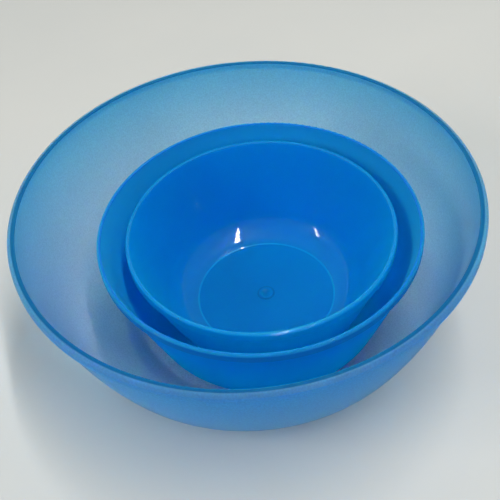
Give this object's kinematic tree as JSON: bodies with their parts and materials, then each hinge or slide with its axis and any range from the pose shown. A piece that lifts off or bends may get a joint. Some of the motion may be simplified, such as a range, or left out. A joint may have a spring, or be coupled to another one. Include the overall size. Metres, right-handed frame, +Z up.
{
  "type": "nesting bowl set",
  "caption": "Round nesting bowls in translucent blue plastic, with a lip at each rim and a foot ring underneath, standing one inside the other; each lifts straight out.",
  "frame": {"origin": "centre of the large bowl's underside, on the surface that the set stands on", "axes": "+Z up along the large bowl's axis, out of its open side; the bowls are round, so +X and +Y are level and otherwise free, and the medium bowl stands a little towards -Y"},
  "size_m": [0.28, 0.28, 0.1],
  "materials": {
    "pale_blue_plastic": "translucent, finely frosted",
    "blue_plastic": "translucent, smooth"
  },
  "bodies": {
    "large_bowl": {"large_bowl": "pale_blue_plastic"},
    "medium_bowl": {"medium_bowl": "blue_plastic"},
    "small_bowl": {"small_bowl": "blue_plastic"}
  },
  "joints": [
    {"name": "medium_lift", "type": "slide", "parent": "large_bowl", "child": "medium_bowl", "axis": [0, 0, 1], "range_m": [0, 0.11]},
    {"name": "small_lift", "type": "slide", "parent": "medium_bowl", "child": "small_bowl", "axis": [0, 0, 1], "range_m": [0, 0.1]}
  ]
}
